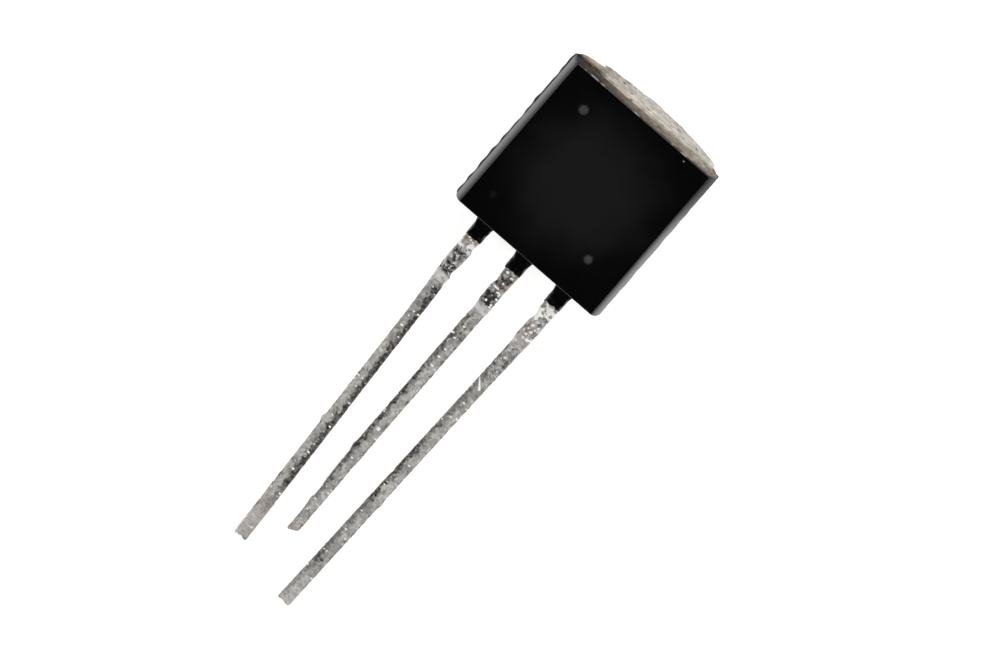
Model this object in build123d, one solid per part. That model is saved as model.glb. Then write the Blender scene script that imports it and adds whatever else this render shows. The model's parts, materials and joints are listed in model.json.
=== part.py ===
from build123d import *
import math
import os

# A three-lead plastic transistor that lies on its round back with the flat face up.
# It is modelled upright first: X across the flat, Y from the flat to the back, Z from the leads
# to the top, with zero where the middle lead leaves the case. It is laid down at the end.

# Case, moulded in two halves that part at the plane of the leads
case_width = 4.64            # across the front half at the parting plane
case_height = 4.49           # along the leads at the parting plane
flat_width = 4.23            # the drafted sides narrow from case_width to this
flat_height = 4.45
front_depth = 1.20           # from the parting plane to the flat
flat_edge_radius = 0.05
front_corner_radius = 0.08   # where a drafted side meets the drafted top or bottom
parting_ledge = 0.10         # the back half is this much narrower on each side
back_rise = 0.09             # the back half sits this much nearer the top, as the mould halves do
back_draft_angle = 3.0       # degrees, on the top and bottom of the back half
back_edge_radius = 0.08

# Scar on the top, where the resin runner was broken off
scar_width = 3.64
scar_shift = 0.245           # its middle lies to the right of the case's middle
scar_inset = 0.06            # from the rim of the round back
scar_corner_radius = 0.35

# Resin collars that the mould leaves on the leads below the case
collar_width = 0.47
collar_thickness = 0.44
collar_length = 0.58

# Leads, stamped from one strip
lead_pitch = 1.27
lead_thickness = 0.38
neck_width = 0.42            # from inside the case down to the cut tie bar
bar_width = 0.45             # the stubs of the cut tie bar
bar_start = 0.92             # below the case
bar_end = 1.75
shank_width = 0.37
shank_ramp = 0.08            # from the bar stubs to the full shank
left_length = 9.93           # below the case
middle_length = 9.02
right_length = 10.44
left_tip_shift = 0.44        # the outer leads are bent a little, to the right and to the left
right_tip_shift = -0.24
middle_tip_width = 0.27      # the middle lead is trimmed on its left and cut off at a slant
middle_trim_length = 2.60
middle_tip_slant = 0.12

# Inside the case: chip pad on the middle lead and a bond post on each outer lead
pad_width = 1.40
pad_height = 1.70
pad_bottom = 1.35            # above the bottom of the case
pad_corner_radius = 0.12
post_gap = 0.27              # between the chip pad and a post
post_width = 0.80
post_height = 1.00
post_corner_radius = 0.10

# Chip, with its bond layer on the pad
chip_size = 0.60
chip_thickness = 0.20
bond_layer_thickness = 0.025
bond_layer_margin = 0.05     # squeezed out round the chip

# Gold wires
wire_diameter = 0.05
ball_diameter = 0.11
ball_height = 0.045
stitch_diameter = 0.15
stitch_height = 0.05
loop_rise = 0.26             # above the chip
ball_place_share = 0.27      # of the chip's width, from its middle
loop_run_share = 0.45        # of the way from ball to stitch, before the wire comes down
loop_radius_share = 0.60     # of the loop's rise
wire_end_share = 0.60        # of the ball's or stitch's height, where the wire's middle line ends

# Values that several pieces follow
back_radius = case_width / 2 - parting_ledge
back_draft = math.tan(math.radians(back_draft_angle))
chip_height = pad_bottom + pad_height / 2
post_place = pad_width / 2 + post_gap + post_width / 2
lead_face = -lead_thickness / 2
bond_layer_face = lead_face - bond_layer_thickness
chip_face = bond_layer_face - chip_thickness


def front_half():
    # straight walls drafted from the parting plane to the flat, with the flat's edges eased
    parting_outline = RectangleRounded(case_width, case_height, front_corner_radius)
    flat_outline = RectangleRounded(flat_width, flat_height, front_corner_radius)
    middle = Pos(0, case_height / 2)
    block = loft([Plane.XZ * middle * parting_outline, Plane.XZ.offset(front_depth) * middle * flat_outline])
    flat_edges = block.faces().sort_by(Axis.Y)[0].edges()
    return fillet(flat_edges, flat_edge_radius)


def back_half():
    # half a round bar, with its top and bottom drafted away from the parting plane
    fall = back_radius * back_draft
    side_outline = Polyline(
        (0, back_rise),
        (back_radius, back_rise + fall),
        (back_radius, back_rise + case_height - fall),
        (0, back_rise + case_height),
        close=True,
    )
    wedge = extrude(Plane.YZ * make_face(side_outline), amount=back_radius, both=True)
    bar = extrude(Circle(back_radius), amount=back_rise + case_height)
    half = wedge & bar
    rims = half.edges().filter_by(GeomType.ELLIPSE)
    return fillet(rims, back_edge_radius)


def runner_scar():
    # level plateau on the drafted top, cut off square at its ends and round at the rim
    rim = Circle(back_radius - scar_inset)
    strip = Pos(scar_shift, back_radius / 2) * Rectangle(scar_width, back_radius)
    outline = rim & strip
    front_left = outline.vertices().filter_by_position(Axis.Y, 0, 0).sort_by(Axis.X)[0]
    outline = fillet(front_left, scar_corner_radius)
    top_level = back_rise + case_height
    return Pos(0, 0, case_height / 2) * extrude(outline, amount=top_level - case_height / 2)


def collar(place):
    # resin sleeve on one lead, rooted in the case
    length = collar_length + collar_thickness
    return Pos(place, 0, collar_thickness - length / 2) * Box(collar_width, collar_thickness, length)


def stamped(outline):
    return extrude(outline, amount=lead_thickness / 2, both=True)


def lead_outline(place, inner_end, length, tip_shift=0, trim=0, trim_length=0, slant=0):
    # flat outline of a lead from inner_end inside the case to its tip, with the tie-bar stubs
    shank_start = bar_end + shank_ramp
    tip_right = place + tip_shift + shank_width / 2
    tip_left = tip_right - shank_width + trim
    trim_start = [(place - shank_width / 2, trim_length - length)] if trim else []
    return Plane.XZ * make_face(Polyline(
        (place + neck_width / 2, inner_end),
        (place + neck_width / 2, -bar_start),
        (place + bar_width / 2, -bar_start),
        (place + bar_width / 2, -bar_end),
        (place + shank_width / 2, -shank_start),
        (tip_right, slant - length),
        (tip_left, -length),
        *trim_start,
        (place - shank_width / 2, -shank_start),
        (place - bar_width / 2, -bar_end),
        (place - bar_width / 2, -bar_start),
        (place - neck_width / 2, -bar_start),
        (place - neck_width / 2, inner_end),
        close=True,
    ))


def outer_lead(side, length, tip_shift):
    # side is -1 for the left lead and 1 for the right one
    post = RectangleRounded(post_width, post_height, post_corner_radius)
    post_outline = Plane.XZ * Pos(side * post_place, chip_height) * post
    return stamped(lead_outline(side * lead_pitch, chip_height, length, tip_shift) + post_outline)


def middle_lead():
    pad = RectangleRounded(pad_width, pad_height, pad_corner_radius)
    pad_outline = Plane.XZ * Pos(0, chip_height) * pad
    trim = shank_width - middle_tip_width
    outline = lead_outline(
        0, chip_height, middle_length, trim=trim, trim_length=middle_trim_length, slant=middle_tip_slant
    )
    return stamped(outline + pad_outline)


def chip_bond_layer():
    width = chip_size + 2 * bond_layer_margin
    middle = bond_layer_face + bond_layer_thickness / 2
    return Pos(0, middle, chip_height) * Box(width, bond_layer_thickness, width)


def silicon_chip():
    return Pos(0, chip_face + chip_thickness / 2, chip_height) * Box(chip_size, chip_thickness, chip_size)


def bond_wire(side):
    # ball on the chip, wire up and over in one loop, and a pressed stitch on the post
    ball_place = chip_size * ball_place_share
    run = post_place - ball_place
    loop_level = chip_face - loop_rise
    start = Vector(side * ball_place, chip_face - ball_height * wire_end_share, chip_height)
    top = Vector(side * ball_place, loop_level, chip_height)
    turn = Vector(side * (ball_place + run * loop_run_share), loop_level, chip_height)
    end = Vector(side * post_place, lead_face - stitch_height * wire_end_share, chip_height)
    path = FilletPolyline(start, top, turn, end, radius=loop_rise * loop_radius_share)
    section = Plane(origin=start, z_dir=top - start) * Circle(wire_diameter / 2)
    ball_base = Plane(origin=(start.X, chip_face, chip_height), z_dir=(0, -1, 0))
    stitch_base = Plane(origin=(end.X, lead_face, chip_height), z_dir=(0, -1, 0))
    ball = extrude(ball_base * Circle(ball_diameter / 2), amount=ball_height)
    stitch = extrude(stitch_base * Circle(stitch_diameter / 2), amount=stitch_height)
    return sweep(section, path=path) + ball + stitch


def moulded_case(inner_pieces):
    # the resin fills all the room that the pieces inside it leave
    case = front_half() + back_half() + runner_scar()
    for place in (-lead_pitch, 0, lead_pitch):
        case += collar(place)
    for piece in inner_pieces:
        case -= piece
    return case


def resting_floor():
    # Plane of the floor, in the upright frame: it holds a corner of each outer lead's tip and touches
    # the lower rim of the round back. down is (across, 1, along) and is square to the line between the
    # tips, so across = -skew * along. The rim reaches back_radius * sqrt(1 + across ** 2) plus
    # along * rim_height that way, and setting this equal to a tip's reach gives a quadratic in along.
    # The part leans towards its shorter outer lead, so it stands on the corners on that side.
    corner = math.copysign(shank_width / 2, left_length - right_length)
    left_tip = Vector(left_tip_shift - lead_pitch + corner, lead_thickness / 2, -left_length)
    right_tip = Vector(right_tip_shift + lead_pitch + corner, lead_thickness / 2, -right_length)
    rim_height = back_rise + back_radius * back_draft
    skew = (right_tip.Z - left_tip.Z) / (right_tip.X - left_tip.X)
    reach = left_tip.Z - rim_height - skew * left_tip.X
    square = reach ** 2 - (back_radius * skew) ** 2
    linear = 2 * left_tip.Y * reach
    constant = left_tip.Y ** 2 - back_radius ** 2
    along = (-linear - math.sqrt(linear ** 2 - 4 * square * constant)) / (2 * square)
    up = -Vector(-skew * along, 1, along).normalized()
    lengthwise = Vector(0, 0, 1) - up * up.Z
    return Plane(origin=left_tip, x_dir=lengthwise.cross(up), z_dir=up)


inner = {
    "left_lead": outer_lead(-1, left_length, left_tip_shift),
    "middle_lead": middle_lead(),
    "right_lead": outer_lead(1, right_length, right_tip_shift),
    "chip_bond_layer": chip_bond_layer(),
    "silicon_chip": silicon_chip(),
    "left_bond_wire": bond_wire(-1),
    "right_bond_wire": bond_wire(1),
}
upright = {"moulded_case": moulded_case(inner.values()), **inner}

# Lay the part down, with the middle of its box over the origin and its lowest point on the floor
floor = resting_floor()
laid = {name: floor.location.inverse() * piece for name, piece in upright.items()}
box = Compound(list(laid.values())).bounding_box()
placing = Pos(-box.center().X, -box.center().Y, -box.min.Z) * floor.location.inverse()

os.makedirs("parts", exist_ok=True)
for name, piece in upright.items():
    export_step(placing * piece, f"parts/{name}.step")
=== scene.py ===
import bmesh
import bpy
import json
import math
import numpy as np
from mathutils import Matrix, Vector


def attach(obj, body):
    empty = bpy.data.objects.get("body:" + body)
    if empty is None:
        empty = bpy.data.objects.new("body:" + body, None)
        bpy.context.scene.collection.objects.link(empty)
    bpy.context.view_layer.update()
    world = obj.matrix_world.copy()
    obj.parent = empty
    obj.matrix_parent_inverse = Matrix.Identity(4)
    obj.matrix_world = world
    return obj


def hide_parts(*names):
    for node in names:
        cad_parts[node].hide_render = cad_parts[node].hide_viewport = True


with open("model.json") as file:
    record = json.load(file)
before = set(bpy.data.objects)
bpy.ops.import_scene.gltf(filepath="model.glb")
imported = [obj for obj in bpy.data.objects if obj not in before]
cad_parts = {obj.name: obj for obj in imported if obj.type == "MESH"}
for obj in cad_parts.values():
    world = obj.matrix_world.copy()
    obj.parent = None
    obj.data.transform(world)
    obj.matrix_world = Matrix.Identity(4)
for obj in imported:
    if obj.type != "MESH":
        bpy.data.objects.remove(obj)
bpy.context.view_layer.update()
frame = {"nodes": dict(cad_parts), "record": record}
print("frame loaded:", ", ".join(sorted(frame["nodes"])))

# Package axes, in millimetres: x across the flat, y from the flat to the back, z from the leads to the
# top, with zero where the middle lead leaves the case. The mounts say how the part lies on the floor.
case = {
    "height": 4.49, "frontDepth": 1.20, "backRadius": 2.22,
    "leftSide": (2.09, 2.305), "rightSide": (2.115, 2.285),     # reach at the flat and at the parting plane
    "flatTop": 4.47, "flatBottom": 0.0,
    "topRise": 0.035, "topTilt": -0.015,        # top of the back half; it leans to the right
    "scarDip": 0.05, "dipPlaces": (-1.56, -1.42, 1.92, 2.05),   # the top lies lower under the scar
    "bottomRise": 0.09, "bottomDraft": math.tan(math.radians(3.0)),
    "topEdge": 0.045, "bottomEdge": 0.02, "cornerEdge": 0.03, "rimEdge": 0.03,

    # thin fin of resin along the parting line
    "flash": 0.016, "leftFlash": 0.05,
    "flashLevel": 0.55, "flashChange": 0.3, "flashSpacing": 0.30,
    "finSteps": [(0.012, 0.6), (0.006, 1.0), (0.0, 1.0)],       # ahead of the parting plane, share
    "finRoom": 0.02,

    # brown film on the top: place across, then how pale it is there
    "filmTone": [(-2.3, -0.55), (-2.0, -0.50), (-1.35, -0.34), (-0.85, -0.16), (-0.37, -0.02), (1.1, 0.06),
                 (1.6, 0.20), (1.9, 0.10)],
    "filmToFin": 0.10,                          # paler by this from half way to the fin
    "backFilm": -0.10, "backFilmRise": 0.35,    # behind the fin, and the rise over a millimetre
    "backLeft": 0.14, "backLeftPlaces": (-1.75, -1.45),         # the left end behind the fin is paler

    # painted highlight along the flat's top edge and on the fin
    "highlightPlaces": [(-1.45, 0.45), (1.3, 0.25)],     # brightest places of the painted highlight along the edge, and their half widths
    "highlightPlace": 0.3, "highlightWidth": 0.2,           # on the eased edge, as shares of its radius
    "highlightSizes": (0.22, 0.09), "highlightGain": 0.8, "highlightLimits": (0.7, 1.5),
    "finPale": (-1.6, -1.3, -0.2, 0.2), "finPaleLevel": 0.65, "finPaleChange": 0.35, "finPaleSize": 0.2,
    "filmStart": 0.6,                           # share of the eased edge that stays black

    # dullness of the sides
    "mitre": 0.03,                              # half width of the rough line down each top corner
    "sideDull": 0.30, "endDull": 0.9,
    "leftDullDepths": (-0.7, -0.3), "rightDullHeights": (2.6, 4.2),     # towards the fin; towards the top

    # rows and points of the surface
    "flatRings": (1, 0.8, 0.6, 0.4, 0.25, 0.12, 0.05, 0.015, 0),        # share of the way in to the middle
    "acrossCount": 150, "alongCount": 90, "cornerCount": 5,
    "edgeRows": 12, "draftRows": 14, "draftTurn": 1.55, "backRows": 64,
}
mounts = {mount["name"]: mount for mount in frame["record"]["mounts"]}
axisDepth = -np.array(mounts["flat_face"]["axis"])
axisDepth /= np.linalg.norm(axisDepth)
axisUp = -np.array(mounts["board_leads"]["axis"])
axisUp -= axisDepth * (axisUp @ axisDepth)
axisUp /= np.linalg.norm(axisUp)
axes = np.stack([np.cross(axisDepth, axisUp), axisDepth, axisUp])
flatCentre = np.array([0, -case["frontDepth"], case["height"] / 2])
zeroPoint = np.array(mounts["flat_face"]["pos_m"]) - flatCentre @ axes / 1000


def place(points):
    # package millimetres to the frame's metres
    return zeroPoint + np.asarray(points, float) @ axes / 1000


def softNoise(points, size, seed, waves=28):
    # sum of plane waves in random directions, about one bump every size; roughly -1 to 1
    draw = np.random.default_rng(seed)
    turn = draw.normal(size=(waves, 3))
    turn *= 2 * math.pi / size * draw.uniform(0.6, 1.3, (waves, 1)) / np.linalg.norm(turn, axis=1)[:, None]
    phase = draw.uniform(0, 2 * math.pi, waves)
    return np.cos(points @ turn.T + phase).sum(-1) / math.sqrt(waves)


def smoothStep(value, low, high):
    # 0 below low and 1 above high, with 3 t^2 - 2 t^3 between them
    part = np.clip((value - low) / (high - low), 0, 1)
    return part * part * (3 - 2 * part)


def between(value, start, full, fade, stop):
    # rises from 0 at start to 1 at full, and falls back from fade to stop
    return smoothStep(value, start, full) * (1 - smoothStep(value, fade, stop))


def raggedSpot(across, along, halfAcross, halfAlong, noise, low, high):
    # an ellipse that is 1 inside and 0 outside, with its border moved in and out by noise
    reach = (across / halfAcross) ** 2 + (along / halfAlong) ** 2
    return smoothStep(1.3 - reach + 0.45 * noise, low, high)


def ringTemplate(acrossCount, alongCount, cornerCount):
    # one turn round a rectangle with rounded corners: side place (two columns), then outward direction
    side = np.linspace(-1, 1, acrossCount)
    rise = np.linspace(-1, 1, alongCount)
    turn = np.linspace(0, math.pi / 2, cornerCount + 2)[1:-1]
    one, none = np.ones_like, np.zeros_like
    parts = [
        (side, -one(side), none(side), -one(side)),
        (one(turn), -one(turn), np.sin(turn), -np.cos(turn)),
        (one(rise), rise, one(rise), none(rise)),
        (one(turn), one(turn), np.cos(turn), np.sin(turn)),
        (side[::-1], one(side), none(side), one(side)),
        (-one(turn), one(turn), -np.sin(turn), np.cos(turn)),
        (-one(rise), rise[::-1], -one(rise), none(rise)),
        (-one(turn), -one(turn), -np.cos(turn), -np.sin(turn)),
    ]
    return np.concatenate([np.stack(part, -1) for part in parts])


def rings(template, low, high, corner):
    # rows of rounded rectangles: low and high are (rows, 2) corners, corner is a radius for each row
    middle, half = (low + high) / 2, (high - low) / 2
    corner = np.minimum(corner, half.min(1))[:, None, None]
    straight = template[None, :, :2] * (half[:, None] - corner)
    return middle[:, None] + straight + template[None, :, 2:] * corner


def tubeFaces(rows, columns, closeStart=False, closeEnd=False, loop=False):
    # quads of a grid that closes round its columns, with one flat face at an end that is closed
    row, column = np.meshgrid(np.arange(rows if loop else rows - 1), np.arange(columns), indexing="ij")
    after, below = (column + 1) % columns, (row + 1) % rows
    quads = np.stack([row * columns + column, row * columns + after,
                      below * columns + after, below * columns + column], -1).reshape(-1, 4)
    faces = quads.tolist()
    if closeStart:
        faces.append(list(range(columns))[::-1])
    if closeEnd:
        faces.append(list(range((rows - 1) * columns, rows * columns)))
    return faces


def addPiece(name, points, faces, material, replaced, attributes=None):
    # a finished piece at the origin, with doubles merged, faces outwards and its attributes on the points
    mesh = bpy.data.meshes.new(name)
    mesh.from_pydata(place(points), [], faces)
    for key, values in (attributes or {}).items():
        layer = mesh.attributes.new(key, "FLOAT", "POINT")
        layer.data.foreach_set("value", np.asarray(values, np.float32).ravel())
    work = bmesh.new()
    work.from_mesh(mesh)
    bmesh.ops.remove_doubles(work, verts=work.verts, dist=1e-7)
    bmesh.ops.dissolve_degenerate(work, edges=work.edges, dist=1e-8)
    bmesh.ops.recalc_face_normals(work, faces=work.faces)
    work.to_mesh(mesh)
    work.free()
    mesh.polygons.foreach_set("use_smooth", np.ones(len(mesh.polygons), bool))
    mesh.materials.append(material)
    piece = bpy.data.objects.new(name, mesh)
    bpy.context.scene.collection.objects.link(piece)
    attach(piece, "root")
    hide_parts(replaced)
    print(name, len(mesh.polygons), "faces")
    return piece


def linear(hexColour):
    # sRGB hex to linear RGBA
    value = np.array([int(hexColour[i:i + 2], 16) for i in (1, 3, 5)]) / 255
    value = np.where(value <= 0.04045, value / 12.92, ((value + 0.055) / 1.055) ** 2.4)
    return (*value, 1.0)


def addNode(tree, kind, links=None, values=None, **settings):
    # one node with its settings, its fixed values and its links from other nodes' sockets
    node = tree.nodes.new(kind)
    for key, value in settings.items():
        setattr(node, key, value)
    for key, value in (values or {}).items():
        node.inputs[key].default_value = value
    for key, socket in (links or {}).items():
        tree.links.new(socket, node.inputs[key])
    return node


def colourRamp(tree, value, stops):
    # colour by value, through (position, hex colour) stops in rising order
    node = addNode(tree, "ShaderNodeValToRGB", {"Fac": value})
    elements = node.color_ramp.elements
    for element, (position, hexColour) in zip((elements[0], elements[1]), (stops[0], stops[-1])):
        element.position = position
        element.color = linear(hexColour)
    for position, hexColour in stops[1:-1]:
        elements.new(position).color = linear(hexColour)
    return node.outputs["Color"]


def colourOver(tree, below, hexColour, factor):
    # one colour laid over what is below it, as strongly as factor says
    node = addNode(tree, "ShaderNodeMix", {"Factor": factor, "A": below}, {"B": linear(hexColour)},
                   data_type="RGBA")
    return node.outputs["Result"]


def multiplyColour(tree, first, second, factor):
    # first times second, mixed with plain first by factor
    node = addNode(tree, "ShaderNodeMix", {"A": first, "B": second}, {"Factor": factor},
                   data_type="RGBA", blend_type="MULTIPLY")
    return node.outputs["Result"]


def attribute(tree, name):
    # a value that the piece carries on its points
    return addNode(tree, "ShaderNodeAttribute", attribute_name=name).outputs["Fac"]


def rangeOf(tree, value, low, high, toLow=0.0, toHigh=1.0, **settings):
    # low to high becomes toLow to toHigh, and holds there beyond them
    limits = {"From Min": low, "From Max": high, "To Min": toLow, "To Max": toHigh}
    return addNode(tree, "ShaderNodeMapRange", {"Value": value}, limits, **settings).outputs[0]


def noiseOf(tree, vector, scale, detail, **values):
    # cloudy noise of 0 to 1, scale bumps to a millimetre
    given = {"Scale": scale, "Detail": detail, **values}
    node = addNode(tree, "ShaderNodeTexNoise", {"Vector": vector}, given)
    return node.outputs["Fac"]


def mathOf(tree, operation, first, second, third=None):
    # arithmetic on sockets and plain decimal numbers
    given = {0: first, 1: second, 2: third}
    numbers = {key: value for key, value in given.items() if isinstance(value, float)}
    sockets = {key: value for key, value in given.items() if value is not None and key not in numbers}
    return addNode(tree, "ShaderNodeMath", sockets, numbers, operation=operation).outputs[0]


def bumpOf(tree, height, strength, distance):
    # normals tilted as if height stood out by distance, in metres
    return addNode(tree, "ShaderNodeBump", {"Height": height},
                   {"Strength": strength, "Distance": distance}).outputs["Normal"]


def cellSpecks(tree, vector, scale, largest):
    # some cells of a pattern hold a speck at their middle; the cell's own random number gives its size
    cells = addNode(tree, "ShaderNodeTexVoronoi", {"Vector": vector}, {"Scale": scale})
    chosen = addNode(tree, "ShaderNodeSeparateColor", {"Color": cells.outputs["Color"]})
    size = rangeOf(tree, chosen.outputs["Red"], 0.45, 1.0, 0.0, largest)
    inside = mathOf(tree, "SUBTRACT", size, cells.outputs["Distance"])
    return rangeOf(tree, inside, 0.0, 0.12)


def newMaterial(name):
    # a material with its node tree and its main shader
    material = bpy.data.materials.new(name)
    material.use_nodes = True
    tree = material.node_tree
    return material, tree, tree.nodes["Principled BSDF"]


def packagePlace(tree):
    # Object coordinates turned to package millimetres, so that patterns have real sizes and directions
    turn = Matrix(axes.tolist())
    shift = -(axes @ zeroPoint) * 1000
    way = addNode(tree, "ShaderNodeTexCoord")
    return addNode(tree, "ShaderNodeMapping", {"Vector": way.outputs["Object"]},
                   {"Scale": (1000, 1000, 1000), "Rotation": turn.to_euler(), "Location": shift}).outputs[0]


flatMarks = {
    # centre on the flat, radius, width of the soft border, colour, strength
    "marks": [
        ((-1.26, 3.68), 0.11, 0.09, "#3d3d3d", 1.0), ((1.20, 0.99), 0.10, 0.09, "#3d3d3d", 1.0),    # dots
        ((1.395, 4.324), 0.018, 0.02, "#9a9a98", 1.0),                                              # speck
        ((-1.59, 0.665), 0.07, 0.14, "#3d3d3d", 0.12),                                              # scuff
    ],
    # painted sheen in the middle of the flat: its middle, and the distances where it is gone and where it
    # is full
    "sheenMiddle": (0.0, 2.25), "sheenEdge": 2.9, "sheenFull": 1.2,
}


def mouldedEpoxy():
    # black silica-filled epoxy from a spark-eroded steel mould: near black and satin, with a fine even
    # grain, rough at its broken corners, and on the flat two dots burnt pale by a laser
    # a painted sheen lies in the middle of the flat
    material, tree, shader = newMaterial("mouldedEpoxy")
    spot = packagePlace(tree)
    grain = noiseOf(tree, spot, 1 / 0.06, 3.0)
    parts = addNode(tree, "ShaderNodeSeparateXYZ", {"Vector": spot})
    spotFlat = addNode(tree, "ShaderNodeCombineXYZ", {"X": parts.outputs["X"], "Z": parts.outputs["Z"]})
    onFlat = rangeOf(tree, parts.outputs["Y"], 0.03 - case["frontDepth"], 0.005 - case["frontDepth"])

    def fromPlace(centre):
        # distance on the flat from one place
        point = {1: (centre[0], 0, centre[1])}
        node = addNode(tree, "ShaderNodeVectorMath", {0: spotFlat.outputs[0]}, point, operation="DISTANCE")
        return node.outputs["Value"]

    # painted sheen: a slightly paler zone in the middle of the flat
    cloud = noiseOf(tree, spot, 1 / 0.9, 2.0)
    uneven = mathOf(tree, "ADD", cloud, fromPlace(flatMarks["sheenMiddle"]))
    paintedSheen = rangeOf(tree, uneven, flatMarks["sheenEdge"], flatMarks["sheenFull"],
                   interpolation_type="SMOOTHSTEP")
    black = addNode(tree, "ShaderNodeMix", {"Factor": mathOf(tree, "MULTIPLY", paintedSheen, onFlat)},
                    {"A": linear("#010101"), "B": linear("#171718")}, data_type="RGBA")

    # marks with ragged borders, on the flat alone
    tone = black.outputs["Result"]
    for centre, radius, border, hexColour, strength in flatMarks["marks"]:
        ragged = mathOf(tree, "MULTIPLY_ADD", grain, radius / 2, fromPlace(centre))
        edge = radius * 1.25
        mark = rangeOf(tree, ragged, edge + border / 2, edge - border / 2, 0.0, strength,
                       interpolation_type="SMOOTHSTEP")
        tone = colourOver(tree, tone, hexColour, mathOf(tree, "MULTIPLY", mark, onFlat))

    smeared = colourOver(tree, tone, "#4a3a2e", attribute(tree, "smear"))
    # painted highlight along the flat's top edge and on the fin
    highlighted = colourOver(tree, smeared, "#b5afa9", attribute(tree, "paintedHighlight"))
    satin = rangeOf(tree, grain, 0.3, 0.7, 0.18, 0.24)
    rough = mathOf(tree, "MULTIPLY_ADD", attribute(tree, "dull"), 0.6, satin)
    tree.links.new(highlighted, shader.inputs["Base Color"])
    tree.links.new(rough, shader.inputs["Roughness"])
    tree.links.new(bumpOf(tree, grain, 0.12, 0.00001), shader.inputs["Normal"])
    shader.inputs["IOR"].default_value = 1.50
    return material


def bledResin():
    # brown film of resin that bled out along the top of the mould: dull and blotchy, with faint pink and
    # tan patches, and a painted highlight along the fin
    material, tree, shader = newMaterial("bledResin")
    stretched = addNode(tree, "ShaderNodeVectorMath", {0: packagePlace(tree)},
                        {1: (1 / 0.16, 1 / 0.17, 1 / 0.1)}, operation="MULTIPLY").outputs[0]
    blotches = noiseOf(tree, stretched, 1.0, 6.0, Roughness=0.7)
    uneven = rangeOf(tree, blotches, 0.3, 0.7, 0.18, 0.86)
    brown = colourRamp(tree, mathOf(tree, "ADD", uneven, attribute(tree, "tone")),
                       [(0.0, "#1a1512"), (0.48, "#74685e"), (0.72, "#a79d94"), (1.0, "#d8cfc6")])
    tint = colourRamp(tree, noiseOf(tree, stretched, 0.4, 2.0),
                      [(0.35, "#ffe2e4"), (0.5, "#f2f2e6"), (0.65, "#ffe8c8")])
    tinted = multiplyColour(tree, brown, tint, 0.5)
    # painted highlight along the fin
    highlighted = colourOver(tree, tinted, "#d8d1c8", attribute(tree, "paintedHighlight"))
    tree.links.new(highlighted, shader.inputs["Base Color"])
    tree.links.new(bumpOf(tree, blotches, 0.4, 0.00002), shader.inputs["Normal"])
    shader.inputs["Roughness"].default_value = 0.9
    shader.inputs["Specular IOR Level"].default_value = 0.1
    return material


def brokenEpoxy():
    # the same resin where it broke: pale warm grey, dull and gritty, with faint tints, small dark pits,
    # brown staining on its left end and a painted shadow along the right of its front edge
    material, tree, shader = newMaterial("brokenEpoxy")
    spot = packagePlace(tree)
    stretched = addNode(tree, "ShaderNodeVectorMath", {0: spot}, {1: (1 / 0.25, 1 / 0.26, 1 / 0.14)},
                        operation="MULTIPLY")
    grit = addNode(tree, "ShaderNodeTexNoise", {"Vector": stretched.outputs[0]},
                   {"Scale": 1.0, "Detail": 7.0, "Roughness": 0.72})
    tone = colourRamp(tree, grit.outputs["Fac"], [(0.30, "#9b948b"), (0.48, "#d5d0c8"), (0.68, "#fbf9f5")])
    patch = noiseOf(tree, spot, 1 / 0.55, 3.0)
    tint = colourRamp(tree, patch, [(0.36, "#f6e6e0"), (0.64, "#eceee2")])
    tinted = multiplyColour(tree, tone, tint, 0.5)
    bent = addNode(tree, "ShaderNodeVectorMath", {0: grit.outputs["Color"], 2: spot}, {1: (0.4, 0.4, 0.4)},
                   operation="MULTIPLY_ADD")
    pit = cellSpecks(tree, bent.outputs[0], 1 / 0.32, 0.30)
    pitted = colourOver(tree, tinted, "#6e655b", pit)
    # the edge attribute lays the painted shadow along the front edge, with the brown staining and the pits
    shadowedAndStained = colourOver(tree, pitted, "#5a4c42", attribute(tree, "edge"))
    level = mathOf(tree, "MULTIPLY_ADD", pit, -0.8, grit.outputs["Fac"])
    tree.links.new(shadowedAndStained, shader.inputs["Base Color"])
    tree.links.new(bumpOf(tree, level, 0.5, 0.00003), shader.inputs["Normal"])
    shader.inputs["Roughness"].default_value = 0.85
    return material


tinFinishes = ("streak", "bright", "pale", "warm", "pink", "shade")     # attributes on the leads; bright is painted glints and shade is painted shade


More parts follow.
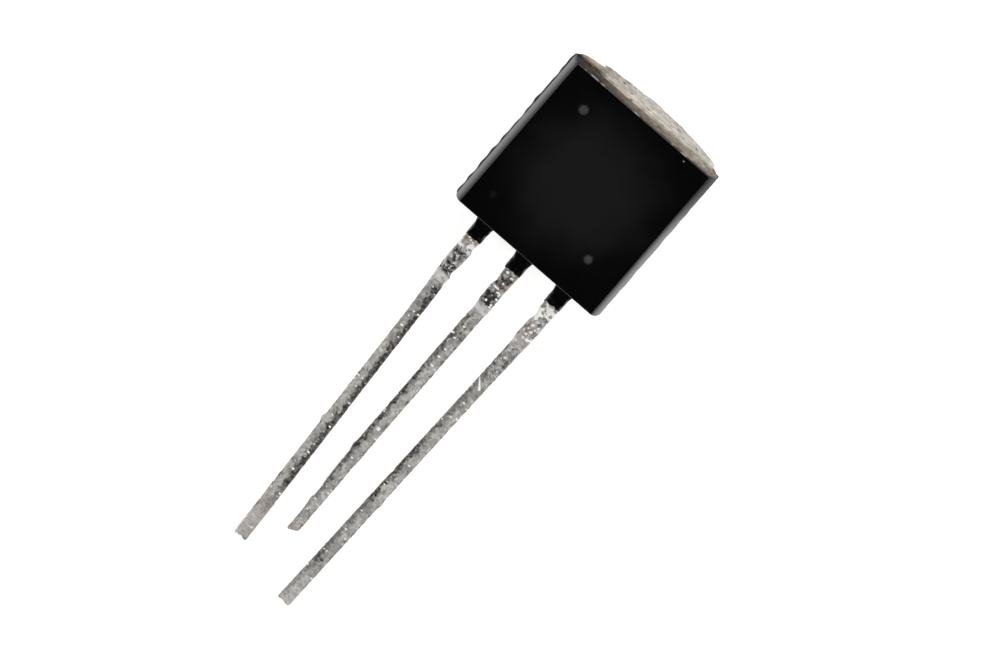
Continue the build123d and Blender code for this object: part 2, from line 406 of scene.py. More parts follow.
def dippedTin():
    # tin from a hot dip, dull silver grey: fairly even where it ran smooth, granular with dark facets where
    # it froze fast, with painted glints and painted shade, smooth pale bands and a warm tint where the
    # copper is near
    material, tree, shader = newMaterial("dippedTin")
    spot = packagePlace(tree)
    field = {key: attribute(tree, key) for key in tinFinishes}
    blotch = noiseOf(tree, spot, 1 / 0.28, 4.0)
    grain = noiseOf(tree, spot, 1 / 0.055, 3.0, Roughness=0.6)
    tone = colourRamp(tree, blotch, [(0.34, "#9f9c99"), (0.66, "#cbc8c4")])
    colour = multiplyColour(tree, tone, rangeOf(tree, grain, 0.32, 0.68, 0.66, 1.22), 1.0)
    uneven = rangeOf(tree, noiseOf(tree, spot, 1 / 0.09, 2.0), 0.35, 0.65, 0.50, 1.15)
    field["shade"] = mathOf(tree, "MULTIPLY", field["shade"], uneven)

    # a facet turns dark or bright where its noise plus the field passes a limit, so more do in a
    # strong field: size, lower limit, upper limit, and a shift that keeps the two patterns apart
    facetKinds = {"streak": (0.10, 0.80, 1.16, (0, 0, 0)), "bright": (0.085, 0.88, 1.06, (3.1, 7.7, 5.3))}
    for key, (size, low, high, shift) in facetKinds.items():
        moved = addNode(tree, "ShaderNodeVectorMath", {0: spot}, {1: shift}, operation="ADD")
        facets = noiseOf(tree, moved.outputs[0], 1 / size, 2.0)
        field[key] = rangeOf(tree, mathOf(tree, "MULTIPLY_ADD", field[key], 0.75, facets), low, high)
    # shade lays painted shade and bright lays painted glints over the tin's colour
    layers = (("warm", "#ad9a70"), ("pink", "#b3a099"), ("shade", "#3b3836"), ("streak", "#262321"),
              ("pale", "#d2d1cf"), ("bright", "#fbfaf7"))
    for key, hexColour in layers:
        colour = colourOver(tree, colour, hexColour, field[key])

    # painted glints: loose bright specks everywhere but on the smooth pale bands
    wide = addNode(tree, "ShaderNodeVectorMath", {0: spot}, {1: (1 / 0.15, 1 / 0.12, 1 / 0.09)},
                   operation="MULTIPLY")
    specks = cellSpecks(tree, wide.outputs[0], 1.0, 0.36)
    notPale = mathOf(tree, "MULTIPLY_ADD", field["pale"], -1.0, 1.0)
    speckled = mathOf(tree, "MULTIPLY", specks, notPale)
    colour = colourOver(tree, colour, "#fbfaf7", speckled)
    shine = mathOf(tree, "MAXIMUM", field["bright"], speckled)
    tree.links.new(colour, shader.inputs["Base Color"])
    # painted glints and specks are less metallic, so that they show near white
    tree.links.new(rangeOf(tree, shine, 0.0, 1.0, 0.70, 0.15), shader.inputs["Metallic"])
    tree.links.new(rangeOf(tree, grain, 0.3, 0.7, 0.36, 0.60), shader.inputs["Roughness"])
    tree.links.new(bumpOf(tree, grain, 0.8, 0.00003), shader.inputs["Normal"])
    return material


def plainMaterial(name, colour, metallic, roughness):
    # drawn, polished or filled stuff inside the case, with a fine change of gloss
    material, tree, shader = newMaterial(name)
    speck = noiseOf(tree, packagePlace(tree), 1 / 0.05, 2.0)
    rough = rangeOf(tree, speck, 0.0, 1.0, roughness * 0.8, roughness * 1.2)
    tree.links.new(rough, shader.inputs["Roughness"])
    shader.inputs["Base Color"].default_value = linear(colour)
    shader.inputs["Metallic"].default_value = metallic
    return material


def caseSurface(material, filmMaterial):
    # Rounded rectangles carried from the middle of the flat to the back. On the flat they grow from a
    # line. Then the sides widen as a quarter of an ellipse and the ends follow an eased edge and a
    # slight draft to the parting plane, where a thin fin stands out. They step in to the back half and
    # shrink there as radius * cos(turn) at depth radius * sin(turn).
    c = case
    template = ringTemplate(c["acrossCount"], c["alongCount"], c["cornerCount"])
    grow = np.array(c["flatRings"])
    eased = (1 - np.cos(np.linspace(0, 1, c["edgeRows"] + 1)[1:] * math.pi / 2)) * c["topEdge"]
    fall = np.cos(np.linspace(0, 1, c["draftRows"])[1:] * c["draftTurn"])
    draft = c["frontDepth"] - (c["frontDepth"] - c["topEdge"]) * fall
    draft = draft[draft < c["frontDepth"] - c["finRoom"]]
    finAhead, finShare = np.array(c["finSteps"]).T
    fin = c["frontDepth"] - finAhead
    deep = np.concatenate([np.zeros_like(grow), eased, draft, fin])
    share = deep / c["frontDepth"]
    bulge = np.sqrt(1 - (1 - share) ** 2)
    backTurn = np.linspace(0, math.pi / 2, c["backRows"])
    backDeep = c["backRadius"] * np.sin(backTurn)
    backHalf = c["backRadius"] * np.cos(backTurn)
    backHalf[-1] = 0
    left, right = (flat + bulge * (parting - flat) for flat, parting in (c["leftSide"], c["rightSide"]))
    over, under = (edge - np.sqrt(edge ** 2 - np.clip(edge - deep, 0, edge) ** 2)
                   for edge in (c["topEdge"], c["bottomEdge"]))
    top = c["flatTop"] + share * (c["height"] - c["flatTop"]) - over
    bottom = c["flatBottom"] * (1 - share) + under
    inset = np.zeros_like(deep)
    inset[:len(grow)] = grow * (c["leftSide"][0] + c["rightSide"][0]) / 2
    depth = np.concatenate([deep - c["frontDepth"], backDeep])
    front = depth < 0
    front[len(deep) - 1] = True
    low = np.stack([np.concatenate([inset - left, -backHalf]),
                    np.concatenate([bottom + inset, c["bottomRise"] + backDeep * c["bottomDraft"]])], -1)
    high = np.stack([np.concatenate([right - inset, backHalf]),
                     np.concatenate([top - inset, np.full_like(backDeep, c["height"] + c["topRise"])])], -1)
    outline = rings(template, low, high, np.where(front, c["cornerEdge"], c["rimEdge"]))
    points = np.stack([outline[..., 0], np.repeat(depth[:, None], len(template), 1), outline[..., 1]], -1)
    finRow = np.zeros((len(depth), 1))
    finRow[len(deep) - len(fin):len(deep), 0] = finShare
    flash = np.where(template[:, 2] < -0.5, c["leftFlash"], c["flash"])
    uneven = c["flashLevel"] + c["flashChange"] * softNoise(points, c["flashSpacing"], 3)
    finOut = flash * np.clip(uneven, 0, None) * finRow
    points[..., [0, 2]] += template[None, :, 2:] * finOut[..., None]
    lean = c["topTilt"] * points[..., 0] - c["scarDip"] * between(points[..., 0], *c["dipPlaces"])
    upperHalf = np.clip(2 * points[..., 2] / c["height"] - 1, 0, 1)
    points[..., 2] += np.where(front[:, None], 0, lean * upperHalf)

    # finish fields: brown film on the top, painted highlight on the flat's top edge and on the fin, rough
    # top corners
    x, y, z = np.moveaxis(points, -1, 0)
    fromFlat = depth + c["frontDepth"]
    onDraft = (front & (depth > -c["frontDepth"]))[:, None]
    onTop = smoothStep(template[:, 3], 0.5, 1.0)[None] * np.ones((len(depth), 1))
    onSide = smoothStep(np.abs(template[:, 2]), 0.5, 1.0)[None] * onDraft
    fromCorner = np.minimum(x - low[:, :1], high[:, :1] - x) + high[:, 1:] - z
    mitre = np.where(onDraft, np.exp(-(fromCorner / c["mitre"]) ** 2), 0)
    pastEdge = (fromFlat > c["topEdge"] * c["filmStart"])[:, None]
    film = onTop * pastEdge * (1 - mitre) > 0.5
    towardsFin = smoothStep(depth, *c["leftDullDepths"])[:, None] * (template[None, :, 2] < 0)
    towardsTop = smoothStep(z, *c["rightDullHeights"]) * (template[None, :, 2] > 0)
    sideDull = c["sideDull"] + (c["endDull"] - c["sideDull"]) * np.maximum(towardsFin, towardsTop)
    dull = np.maximum(mitre, onSide * sideDull)

    along = points * [1, 0, 0]
    # painted highlight: a broken light line along the flat's top edge, brightest at the listed places, and
    # a pale line on the fin; broken holds the edge's line
    onEdge = np.exp(-((fromFlat / c["topEdge"] - c["highlightPlace"]) / c["highlightWidth"]) ** 2)[:, None]
    onEdge[:len(grow)] = 0
    highlightPlaces = sum(np.exp(-((x - at) / reach) ** 2) for at, reach in c["highlightPlaces"])
    coarse, fine = c["highlightSizes"]
    ragged = softNoise(along, coarse, 8) + 0.5 * softNoise(along, fine, 9)
    broken = smoothStep(ragged + c["highlightGain"] * highlightPlaces, *c["highlightLimits"])
    paleness = c["finPaleLevel"] + c["finPaleChange"] * softNoise(along, c["finPaleSize"], 10)
    ledge = finRow.copy()
    ledge[len(deep)] = 1
    paintedHighlight = onTop * np.maximum(onEdge * broken, ledge * np.clip(between(x, *c["finPale"]) * paleness, 0, 1))
    places, tones = np.array(c["filmTone"]).T
    frontTone = np.interp(x, places, tones) + c["filmToFin"] * (2 * y / c["frontDepth"] + 1)
    backTone = c["backFilm"] + c["backFilmRise"] * np.clip(y, 0, 1)
    backTone = backTone + c["backLeft"] * (1 - smoothStep(x, *c["backLeftPlaces"]))
    tone = np.where(front[:, None], frontTone, backTone)
    fields = {"film": film, "paintedHighlight": paintedHighlight, "dull": dull, "tone": tone}
    shell = addPiece("case_shell", points.reshape(-1, 3), tubeFaces(len(depth), len(template)), material,
                     "moulded_case", fields)

    # faces whose points all lie in the film get its material
    shell.data.materials.append(filmMaterial)
    filmed = np.zeros(len(shell.data.vertices), np.float32)
    shell.data.attributes["film"].data.foreach_get("value", filmed)
    starts, corners = np.zeros(len(shell.data.polygons), int), np.zeros(len(shell.data.loops), int)
    shell.data.polygons.foreach_get("loop_start", starts)
    shell.data.loops.foreach_get("vertex_index", corners)
    covered = np.minimum.reduceat(filmed[corners], starts)
    shell.data.polygons.foreach_set("material_index", (covered > 0.5).astype(int))


scar = {
    "left": -1.575, "right": 2.065, "inset": 0.06, "cornerRadius": 0.35, "finGap": 0.004,
    "front": 4.540, "rise": 0.115, "riseBend": 1.6,     # its front edge, and how it rises to the back
    "leftRise": 0.02, "leftRisePlaces": (-1.5, -1.1),
    "sink": 0.16,                                       # depth of its walls
    "relief": 0.012, "grit": 0.11,
    "reliefLayers": [(4.0, 1.0, 5), (1.0, 0.8, 6), (0.5, 0.5, 7)],     # size in grits, share, seed
    "borderRelief": 0.6, "borderReach": 0.1,            # the relief is calmer at the border
    "borderDrop": 0.01, "dropReach": 0.04,              # and the border is worn down
    # x, y, half sizes
    "pits": [
        (-0.075, 0.66, 0.10, 0.20), (0.826, 1.22, 0.06, 0.14), (0.23, 2.10, 0.08, 0.08),
        (-0.64, 0.77, 0.04, 0.10), (-0.95, 1.30, 0.05, 0.12), (1.45, 0.75, 0.035, 0.10),
        (0.45, 1.70, 0.03, 0.08),
    ],
    "pitDepth": 0.02, "pitTone": 0.85, "pitLimits": (0.0, 1.2),
    # painted shadow along the right of the front edge, and brown staining on the left end
    "edgeShadow": 0.55, "edgeReach": (0.0, 0.10), "edgeRagged": 0.03, "edgePlaces": (0.0, 0.3),
    "leftStain": 0.34, "leftPlaces": (-1.4, -0.6), "leftRagged": 0.15,
    "cornerStain": 0.2, "cornerPlaces": (-1.5, -1.25), "stainChange": 0.16, "stainSize": 0.2,
    "raggedSizes": (0.25, 0.08),
    "acrossCount": 300, "deepCount": 120,
}


def scarSurface(material):
    # plateau: x runs along it, y runs from its front edge to the round rim, and z is a gentle slope
    # plus three sizes of soft noise; walls drop from its border into the case
    p, c = scar, case
    across = np.linspace(p["left"], p["right"], p["acrossCount"])
    rim = np.sqrt((c["backRadius"] - p["inset"]) ** 2 - across ** 2)
    into = np.clip(p["left"] + p["cornerRadius"] - across, 0, p["cornerRadius"])
    front = p["cornerRadius"] - np.sqrt(p["cornerRadius"] ** 2 - into ** 2) + p["finGap"]
    share = np.linspace(0, 1, p["deepCount"])
    x = np.repeat(across[None], p["deepCount"], 0)
    y = front + share[:, None] * (rim - front)
    rise = p["rise"] * (y / c["backRadius"]) ** p["riseBend"]
    leftRise = p["leftRise"] * (1 - smoothStep(x, *p["leftRisePlaces"]))
    top = np.stack([x, y, p["front"] + rise + leftRise], -1)
    border = np.minimum.reduce([x - p["left"], p["right"] - x, y - front, rim - y])
    noise = sum(part * softNoise(top, p["grit"] * size, seed) for size, part, seed in p["reliefLayers"])
    calm = p["borderRelief"] + (1 - p["borderRelief"]) * smoothStep(border, 0, p["borderReach"])
    top[..., 2] += p["relief"] * noise * calm
    top[..., 2] -= p["borderDrop"] * (1 - smoothStep(border, 0, p["dropReach"]))
    pit = np.zeros_like(x)
    for pitX, pitY, halfWide, halfDeep in p["pits"]:
        spot = raggedSpot(x - pitX, y - pitY, halfWide, halfDeep, noise, *p["pitLimits"])
        pit = np.maximum(pit, p["pitTone"] * spot)
    top[..., 2] -= p["pitDepth"] * pit

    coarse, fine = p["raggedSizes"]
    ragged = softNoise(top * [1, 0, 0], coarse, 15) + 0.6 * softNoise(top * [1, 0, 0], fine, 16)
    # painted shadow along the right of the front edge
    fromFront = y - front + p["edgeRagged"] * ragged
    edgeShadow = p["edgeShadow"] * (1 - smoothStep(fromFront, *p["edgeReach"]))
    edgeShadow = edgeShadow * smoothStep(x, *p["edgePlaces"])
    patchy = p["leftStain"] + p["cornerStain"] * (1 - smoothStep(x, *p["cornerPlaces"]))
    patchy = patchy + p["stainChange"] * softNoise(top, p["stainSize"], 17)
    leftStain = patchy * (1 - smoothStep(x + p["leftRagged"] * ragged, *p["leftPlaces"]))
    shadowAndStain = np.maximum.reduce([edgeShadow, leftStain, pit]).ravel()

    rows, columns = x.shape
    grid = np.arange(rows * columns).reshape(rows, columns)
    ring = np.concatenate([grid[0, :-1], grid[:-1, -1], grid[-1, :0:-1], grid[:0:-1, 0]])
    low = top.reshape(-1, 3)[ring] - [0, 0, p["sink"]]
    lowIndex = rows * columns + np.arange(len(ring))
    quads = np.stack([grid[:-1, :-1], grid[:-1, 1:], grid[1:, 1:], grid[1:, :-1]], -1).reshape(-1, 4)
    walls = np.stack([np.roll(ring, -1), ring, lowIndex, np.roll(lowIndex, -1)], -1)
    faces = quads.tolist() + walls.tolist() + [lowIndex[::-1].tolist()]
    addPiece("runner_scar", np.concatenate([top.reshape(-1, 3), low]), faces, material,
             "moulded_case", {"edge": np.concatenate([shadowAndStain, shadowAndStain[ring]])})


lead = {
    "pitch": 1.27, "thickness": 0.38,
    "padWidth": 1.40, "padHeight": 1.70, "padBottom": 1.35,
    "postGap": 0.27, "postWidth": 0.80, "postHeight": 1.00, "neckWidth": 0.42, "shoulder": 0.002,
    "corner": 0.05, "endRound": 0.05,
    "tipReach": 0.3, "notchWidth": 0.18,                # slant and notch of the tip: length, share
    "lump": 0.006, "lumpSizes": (0.13, 0.052), "fineLumps": 0.6,
    "step": 0.02, "fineStart": -0.1, "endRows": 6,      # rows along the lead
    "acrossCount": 26, "deepCount": 14, "cornerCount": 4,

    # finish, by depth below the case
    "tinStart": (0.5, 0.6),
    "neckDepths": (0.5, 0.65, 1.6, 1.75),               # from the collar to the end of the tie-bar stubs
    "livelyDepths": (1.8, 1.95, 2.8, 3.6),              # grainy start of the shank
    "shankStart": (1.85, 2.0),
    "darkRagged": 0.22, "darkFade": 0.7,                # share of the dark that fades towards the tip
    "edgeShade": 0.72, "edgeReach": (0.76, 1.0), "edgeRagged": 0.12,     # painted shade: thin dark line along both edges
    "mottle": 0.40, "mottleSize": 0.3, "mottleLimits": (0.3, 1.5),
    "darkGrains": 0.5, "livelyShine": 0.42,
    "raggedSizes": (0.16, 0.06),
    "markLimits": (0.1, 0.7),
    "backShare": 0.35, "facingLimits": (-0.1, 0.3),     # the back is a calmer version of the front
    "scratchTaper": (0.4, 0.9), "scratchBorder": (0.5, 1.3),
}
# edges: depth below the case, then the left and right edge from the lead's own place
# bumps: side, depth, height, half length
# slant: how much shorter the right edge is; notch: place across the tip and depth
# darkSide: the side that gets painted shade, a dark reflection, left -1 or right 1
# darkAcross: where the dark starts and is full, from -1 to 1 towards that side
# darkDepths and darkest: where it fades in and out, and where it goes from darkness to full
# neckShine and lively: how many bright grains, painted glints, the neck and the start of the shank have
# marks: finish, across, depth, half width, half length, strength; bright marks are painted highlights and
# shade marks are painted shade
# scratch: start, end and width
leadKinds = {
    "left_lead": {
        "side": -1, "length": 9.93, "slant": 0.0, "notch": (0.55, 0.035), "neckShine": 0.40, "lively": 0.0,
        "darkSide": 1, "darkAcross": (-0.15, 0.45), "darkness": 0.82,
        "darkDepths": (1.75, 2.1, 8.0, 9.2), "darkest": (1.8, 2.2, 7.9, 8.5),
        "edges": [
            (0, -.21, .21), (.60, -.20, .205), (.74, -.20, .19), (.84, -.185, .165),
            (.93, -.205, .215), (1.31, -.205, .205), (1.50, -.19, .175), (1.68, -.185, .165),
            (1.73, -.182, .215), (1.92, -.155, .18), (2.02, -.145, .212), (2.42, -.115, .235),
            (3.03, -.07, .262), (9.93, .262, .622),
        ],
        "bumps": [(-1, 6.35, .05, .08)],
        "marks": [
            ("bright", 0, .80, .2, .2, .62), ("warm", -.02, .63, .2, .07, .8),
            ("bright", -.10, .60, .04, .03, 1), ("bright", .08, .66, .05, .03, 1),
            ("bright", .12, .79, .08, .07, .9), ("bright", -.16, .90, .05, .03, .9),
            ("streak", 0, 1.53, .17, .18, .83), ("streak", 0, 1.15, .19, .20, .75),
            ("pink", .17, 3.95, .10, .08, .7), ("shade", .05, 2.75, .30, .75, .36),
            ("pale", 0, 1.80, .23, .11, 1), ("bright", .25, 6.33, .10, .03, .35),
            ("pink", .42, 9.3, .3, .8, .3), ("pale", .42, 9.5, .3, .4, .45),
        ],
    },
    "middle_lead": {
        "side": 0, "length": 9.02, "slant": 0.12, "notch": (0.5, 0.0), "neckShine": 0.27, "lively": 0.9,
        "darkSide": -1, "darkAcross": (0.0, 0.7), "darkness": 0.82,
        "darkDepths": (1.8, 2.15, 7.2, 8.4), "darkest": (3.8, 4.2, 6.1, 6.7),
        "edges": [
            (0, -.21, .21), (.60, -.20, .205), (.80, -.19, .20), (.98, -.16, .195), (1.16, -.21, .185),
            (1.50, -.20, .20), (1.70, -.185, .20), (1.78, -.165, .20), (1.95, -.165, .185),
            (2.2, -.18, .185), (3.0, -.183, .182), (5.2, -.178, .172), (6.24, -.184, .172),
            (6.54, -.159, .179), (6.84, -.154, .164), (7.43, -.135, .179), (7.72, -.098, .171),
            (7.98, -.10, .175), (8.02, -.13, .179), (8.31, -.091, .171), (8.61, -.086, .179),
            (9.02, -.086, .179),
        ],
        "bumps": [(-1, 6.38, .03, .08)],
        "marks": [
            ("streak", 0, .88, .18, .26, .74), ("pink", 0, .9, .2, .25, .4),
            ("warm", .19, .9, .03, .25, .7), ("bright", -.08, .66, .04, .03, 1),
            ("bright", .10, .72, .05, .03, 1), ("bright", .02, .95, .03, .03, .9),
            ("bright", -.05, 1.12, .11, .025, .9), ("bright", .10, 1.20, .08, .025, .8),
            ("streak", 0, 1.40, .20, .22, .80), ("shade", 0, 1.42, .2, .22, .72),
            ("bright", -.05, 1.52, .03, .03, 1), ("bright", .13, 1.54, .035, .03, 1),
            ("pale", 0, 1.78, .22, .08, 1), ("bright", .02, 5.65, .07, .05, .8),
            ("pink", .05, 8.9, .2, .12, .5),
        ],
    },
    "right_lead": {
        "side": 1, "length": 10.44, "slant": -0.02, "notch": (0.4, 0.03), "neckShine": 0.44, "lively": 1.0,
        "darkSide": -1, "darkAcross": (-0.02, 0.72), "darkness": 0.64,
        "darkDepths": (2.35, 2.7, 8.8, 10.0), "darkest": (5.0, 5.4, 6.9, 7.5),
        "edges": [
            (0, -.21, .21), (.60, -.21, .205), (.82, -.205, .205), (.95, -.15, .20),
            (1.10, -.165, .20), (1.20, -.205, .20), (1.55, -.215, .195), (1.74, -.21, .19),
            (1.80, -.195, .185), (2.0, -.19, .168), (2.3, -.20, .16), (3.03, -.215, .128),
            (10.44, -.428, -.072),
        ],
        "bumps": [(1, 7.06, .03, .08), (-1, 6.24, -.02, .06)],
        "marks": [
            ("warm", -.03, .70, .2, .10, .6), ("pale", .05, .72, .14, .09, .6),
            ("bright", -.10, .80, .08, .04, .9), ("bright", .12, .86, .09, .03, .9),
            ("bright", -.10, .98, .09, .12, 1), ("bright", 0, .78, .2, .2, .7),
            ("bright", 0, 1.4, .2, .3, .52), ("pink", 0, 1.45, .2, .3, .5),
            ("bright", .08, 1.32, .04, .03, .8), ("bright", .10, 1.60, .05, .04, .7),
            ("pale", -.15, 1.80, .07, .07, .8), ("streak", -.28, 9.0, .12, .17, .6),
            ("bright", -.25, 8.78, .09, .03, .7), ("pale", -.18, 10.0, .12, .45, .45),
            ("pink", -.24, 10.4, .2, .12, .35),
        ],
        "scratch": ((-.20, 3.05), (-.005, 3.30), 0.030),
    },
}


def leadSurface(name, material):
    # rounded rectangles carried from the head inside the case down to the tip: left and right edges run
    # straight between the listed depths, the thickness is even, soft noise lumps the tin, and the end
    # is rounded as radius * (1 - sin(turn)) over the last bit of length
    p, k = lead, leadKinds[name]
    middle = k["side"] * p["pitch"]
    headMiddle = p["padBottom"] + p["padHeight"] / 2
    if k["side"]:
        headHalf, headTall = p["postWidth"] / 2, p["postHeight"]
        headX = k["side"] * (p["padWidth"] / 2 + p["postGap"] + p["postWidth"] / 2)
    else:
        headHalf, headTall, headX = p["padWidth"] / 2, p["padHeight"], 0.0
    top, bottom = headMiddle + headTall / 2, headMiddle - headTall / 2
    headEdges = (headX - headHalf, headX + headHalf)
    neckEdges = (middle - p["neckWidth"] / 2, middle + p["neckWidth"] / 2)
    knots = np.array([(-top, *headEdges), (-bottom - p["shoulder"], *headEdges), (-bottom, *neckEdges)])
    table = np.concatenate([knots, np.array(k["edges"]) + [0, middle, middle]])
    turn = np.linspace(0, math.pi / 2, p["endRows"])
    end = k["length"] - p["endRound"] * (1 - np.sin(turn))
    s = np.unique(np.concatenate([knots[:, 0], np.arange(p["fineStart"], end[0], p["step"]), end]))
    left, right = np.interp(s, table[:, 0], table[:, 1]), np.interp(s, table[:, 0], table[:, 2])
    for side, at, height, reach in k["bumps"]:
        swell = height * np.exp(-((s - at) / reach) ** 2)
        left = left - swell * (side < 0)
        right = right + swell * (side > 0)
    pastEnd = np.clip((s - end[0]) / p["endRound"], 0, 1)
    endInset = p["endRound"] * (1 - np.sqrt(1 - pastEnd ** 2))
    half = p["thickness"] / 2 - endInset
    low = np.stack([left + endInset, -half], -1)
    high = np.stack([right - endInset, half], -1)
    template = ringTemplate(p["acrossCount"], p["deepCount"], p["cornerCount"])
    outline = rings(template, low, high, np.full_like(s, p["corner"]))
    deep = np.repeat(s[:, None], len(template), 1)
    share = (outline[..., 0] - left[:, None]) / (right - left)[:, None]
    nearTip = smoothStep(deep, k["length"] - p["tipReach"], k["length"])
    notchAt, notchDeep = k["notch"]
    notch = notchDeep * np.exp(-((share - notchAt) / p["notchWidth"]) ** 2)
    deep = deep - nearTip * (k["slant"] * share + notch)
    points = np.stack([outline[..., 0], outline[..., 1], -deep], -1)
    outside = smoothStep(deep, *p["tinStart"])
    seed = 10 * (k["side"] + 2)
    coarse, fine = p["lumpSizes"]
    lumps = softNoise(points, coarse, seed) + p["fineLumps"] * softNoise(points, fine, seed + 1)
    points[..., :2] += template[None, :, 2:] * (p["lump"] * lumps * outside)[..., None]

    # finish fields: painted shade on one side and along both edges, mottle, painted glints on the grainy
    # zones, listed marks and the scratch, all with ragged borders
    across = 2 * share - 1
    coarse, fine = p["raggedSizes"]
    ragged = softNoise(points, coarse, seed + 2) + 0.7 * softNoise(points, fine, seed + 3)
    field = {key: np.zeros_like(deep) for key in tinFinishes}
    # painted shade: a dark reflection on one side of the lead, fading in and out along it
    start, full, fade, stop = k["darkDepths"]
    lengthwise = smoothStep(deep, start, full) * (1 - p["darkFade"] * smoothStep(deep, fade, stop))
    darkness = k["darkness"] + (1 - k["darkness"]) * between(deep, *k["darkest"])
    paintedShadeSide = smoothStep(k["darkSide"] * across + p["darkRagged"] * ragged, *k["darkAcross"])
    dark = darkness * paintedShadeSide * lengthwise
    # painted shade: thin dark lines along both edges
    thin = smoothStep(np.abs(across) + p["edgeRagged"] * ragged, *p["edgeReach"])
    thin = p["edgeShade"] * thin * smoothStep(deep, *p["shankStart"])
    cloudy = softNoise(points, p["mottleSize"], seed + 4) + 0.5 * ragged
    mottle = p["mottle"] * smoothStep(cloudy, *p["mottleLimits"])
    neck = between(deep, *p["neckDepths"])
    lively = k["lively"] * between(deep, *p["livelyDepths"])
    field["shade"] = np.maximum(dark, thin)
    field["streak"] = np.maximum(mottle, p["darkGrains"] * np.maximum.reduce([dark, neck, lively]))
    # painted glints on the neck and the start of the shank
    field["bright"] = np.maximum(k["neckShine"] * neck, p["livelyShine"] * lively)
    x = points[..., 0] - middle
    for finish, markX, markDeep, halfWide, halfLong, strength in k["marks"]:
        spot = raggedSpot(x - markX, deep - markDeep, halfWide, halfLong, ragged, *p["markLimits"])
        field[finish] = np.maximum(field[finish], strength * spot)
    if "scratch" in k:
        first, last, width = k["scratch"]
        run = np.subtract(last, first)
        here = np.stack([x, deep], -1) - first
        along = np.clip(here @ run / (run @ run), 0, 1)
        off = np.linalg.norm(here - along[..., None] * run, axis=-1)
        narrow, widening = p["scratchTaper"]
        inner, outer = p["scratchBorder"]
        line = 1 - smoothStep(off / (narrow + widening * along), width * inner, width * outer)
        field["bright"] = np.maximum(field["bright"], line * (points[..., 1] < 0))
    facing = p["backShare"] + (1 - p["backShare"]) * smoothStep(-template[:, 3], *p["facingLimits"])
    faces = tubeFaces(len(s), len(template), closeStart=True, closeEnd=True)
    addPiece(name + "_tinned", points.reshape(-1, 3), faces, material,
             name, {key: value * outside * facing for key, value in field.items()})


collar = {
    "thickness": 0.44, "length": 0.58, "root": 0.07, "rootLength": 0.34, "corner": 0.05, "endRound": 0.02,
    "sides": {"left_collar": (-.223, .226), "middle_collar": (-.245, .224), "right_collar": (-.234, .229)},
    "inside": 0.15, "fineStart": 0.03, "wall": 0.05, "lip": 0.004,      # reach into the case; inner face
    "lump": 0.005, "lumpSize": 0.2,
    "ragged": 0.024, "raggedSize": 0.16, "raggedStart": 0.3,            # uneven end
    "smear": 0.6, "smearSize": 0.12, "smearLimits": (0.4, 1.6),         # brown smears near the end
    "rows": 36, "endRows": 5, "sideCount": 14, "cornerCount": 4,
}


def collarSurface(name, middle, material):
    # a sleeve: rounded rectangles carried down the outside of one lead, flared at the root of its sides and
    # back and eased at the end, then back up just inside the lead's surface, and closed on itself
    p = collar
    end = -p["length"]
    down = np.concatenate([[p["inside"]], np.linspace(p["fineStart"], end + p["endRound"], p["rows"])])
    turn = np.linspace(0, math.pi / 2, p["endRows"])[1:]
    z = np.concatenate([down, end + p["endRound"] * (1 - np.sin(turn)), [end + p["lip"], p["inside"]]])
    out = p["root"] * np.clip(1 + z / p["rootLength"], 0, 1) ** 2
    out[len(down):-2] = -p["endRound"] * (1 - np.cos(turn))
    out[-2:] = -p["wall"]
    left, right = p["sides"][name]
    low = np.stack([middle + left - out, -p["thickness"] / 2 - np.minimum(out, 0)], -1)
    high = np.stack([middle + right + out, p["thickness"] / 2 + out], -1)
    template = ringTemplate(p["sideCount"], p["sideCount"], p["cornerCount"])
    outline = rings(template, low, high, np.full_like(z, p["corner"]))
    points = np.stack([outline[..., 0], outline[..., 1], np.repeat(z[:, None], len(template), 1)], -1)
    outside = (np.arange(len(z)) < len(z) - 2)[:, None]
    lumps = p["lump"] * softNoise(points, p["lumpSize"], 41) * outside
    points[..., :2] += template[None, :, 2:] * lumps[..., None]
    ragged = softNoise(points * [1, 1, 0], p["raggedSize"], 43)
    nearEnd = smoothStep(-points[..., 2], p["raggedStart"], p["length"])
    points[..., 2] += p["ragged"] * ragged * nearEnd
    smear = p["smear"] * smoothStep(softNoise(points, p["smearSize"], 44), *p["smearLimits"]) * nearEnd
    addPiece(name, points.reshape(-1, 3), tubeFaces(len(z), len(template), loop=True), material,
             "moulded_case", {"smear": smear})


epoxy, broken, tin = mouldedEpoxy(), brokenEpoxy(), dippedTin()
caseSurface(epoxy, bledResin())
scarSurface(broken)
for leadName, kind in leadKinds.items():
    leadSurface(leadName, tin)
    collarSurface(leadName.replace("lead", "collar"), kind["side"] * lead["pitch"], epoxy)

# pieces sealed in the case keep their solids
inner = {
    "silicon_chip": plainMaterial("polishedSilicon", "#7d808a", 0.6, 0.15),
    "chip_bond_layer": plainMaterial("silverEpoxy", "#b4b3ae", 0.5, 0.5),
    "left_bond_wire": plainMaterial("drawnGold", "#e0b860", 1.0, 0.2),
}
inner["right_bond_wire"] = inner["left_bond_wire"]
for nodeName, material in inner.items():
    mesh = frame["nodes"][nodeName].data
    mesh.materials.clear()
    mesh.materials.append(material)
print("materials on the inner pieces")

# floor, light and camera
studio = {
    "floorSize": 1.2, "paperLift": 0.55,
    "lamps": [(0, 40, 0.42), (180, 40, 0.42), (90, 58, 0.29), (-90, 38, 0.13)],     # turn, rise, power
    "lampDistance": 0.30, "lampSize": 0.16,
    "wall": 0.9, "wallTop": 0.45, "ceiling": 0.015,      # brightness of the walls, which dim up to wallTop
}


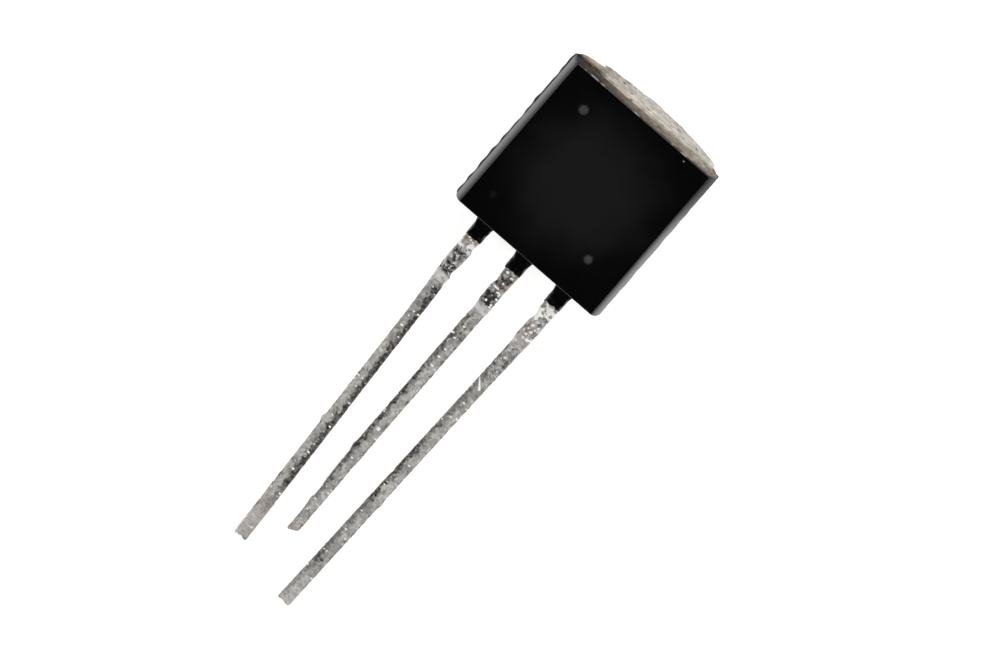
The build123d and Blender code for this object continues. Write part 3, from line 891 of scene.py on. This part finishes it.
def whitePaper():
    # plain white paper: lit by the lamps, and lifted to white for what looks straight at it
    material, tree, shader = newMaterial("whitePaper")
    tree.nodes.remove(shader)
    seen = addNode(tree, "ShaderNodeLightPath").outputs
    direct = mathOf(tree, "MAXIMUM", seen["Is Camera Ray"], seen["Is Glossy Ray"])
    straight = mathOf(tree, "MAXIMUM", direct, seen["Is Transmission Ray"])
    lift = mathOf(tree, "MULTIPLY", straight, studio["paperLift"])
    paper = addNode(tree, "ShaderNodeBsdfDiffuse", None, {"Color": linear("#f2f2f0")})
    glow = addNode(tree, "ShaderNodeEmission", {"Strength": lift})
    both = addNode(tree, "ShaderNodeAddShader", {0: paper.outputs[0], 1: glow.outputs[0]})
    tree.links.new(both.outputs[0], tree.nodes["Material Output"].inputs["Surface"])
    return material


reach = studio["floorSize"] / 2
floorCorners = [(-reach, -reach, 0), (reach, -reach, 0), (reach, reach, 0), (-reach, reach, 0)]
floorMesh = bpy.data.meshes.new("floor")
floorMesh.from_pydata(floorCorners, [], [(0, 1, 2, 3)])
floorMesh.materials.append(whitePaper())
floor = bpy.data.objects.new("floor", floorMesh)
bpy.context.scene.collection.objects.link(floor)

for turn, rise, power in studio["lamps"]:
    lamp = bpy.data.lights.new("softbox", "AREA")
    lamp.size, lamp.energy = studio["lampSize"], power
    turn, rise = math.radians(turn), math.radians(rise)
    direction = Vector((math.cos(turn) * math.cos(rise), math.sin(turn) * math.cos(rise), math.sin(rise)))
    holder = bpy.data.objects.new("softbox", lamp)
    holder.location = direction * studio["lampDistance"]
    holder.rotation_euler = direction.to_track_quat("Z", "Y").to_euler()
    bpy.context.scene.collection.objects.link(holder)

world = bpy.data.worlds.new("studio")
bpy.context.scene.world = world
world.use_nodes = True
sky = world.node_tree
way = addNode(sky, "ShaderNodeTexCoord")
height = addNode(sky, "ShaderNodeSeparateXYZ", {"Vector": way.outputs["Generated"]})
brightness = rangeOf(sky, height.outputs["Z"], 0.0, studio["wallTop"], studio["wall"], studio["ceiling"])
sky.links.new(brightness, sky.nodes["Background"].inputs["Strength"])
sky.nodes["Background"].inputs["Color"].default_value = (1, 1, 1, 1)

view = {
    "imageWidth": 1000, "pixelsPerMm": 40.87, "tilt": 6.9, "roll": 40.85, "distance": 250.0,
    "aim": (0.754, 0.0, -1.942),                 # package millimetres at the middle of the image
}
tilt, roll = math.radians(view["tilt"]), math.radians(view["roll"])
towards = np.array([0, -math.cos(tilt), math.sin(tilt)])
partUp = np.array([0, math.sin(tilt), math.cos(tilt)])
imageUp = math.cos(roll) * partUp - math.sin(roll) * np.array([1.0, 0, 0])
imageRight = np.cross(imageUp, towards)
turnMatrix = np.stack([imageRight @ axes, imageUp @ axes, towards @ axes], -1)
eye = bpy.data.cameras.new("camera")
eye.sensor_width = 36
eye.lens = eye.sensor_width * view["distance"] / (view["imageWidth"] / view["pixelsPerMm"])
camera = bpy.data.objects.new("camera", eye)
eyePlace = place(np.array(view["aim"]) + towards * view["distance"])
camera.matrix_world = Matrix.Translation(eyePlace) @ Matrix(turnMatrix.tolist()).to_4x4()
bpy.context.scene.collection.objects.link(camera)
bpy.context.scene.camera = camera
bpy.context.scene.view_settings.view_transform = "Standard"
print("studio ready")
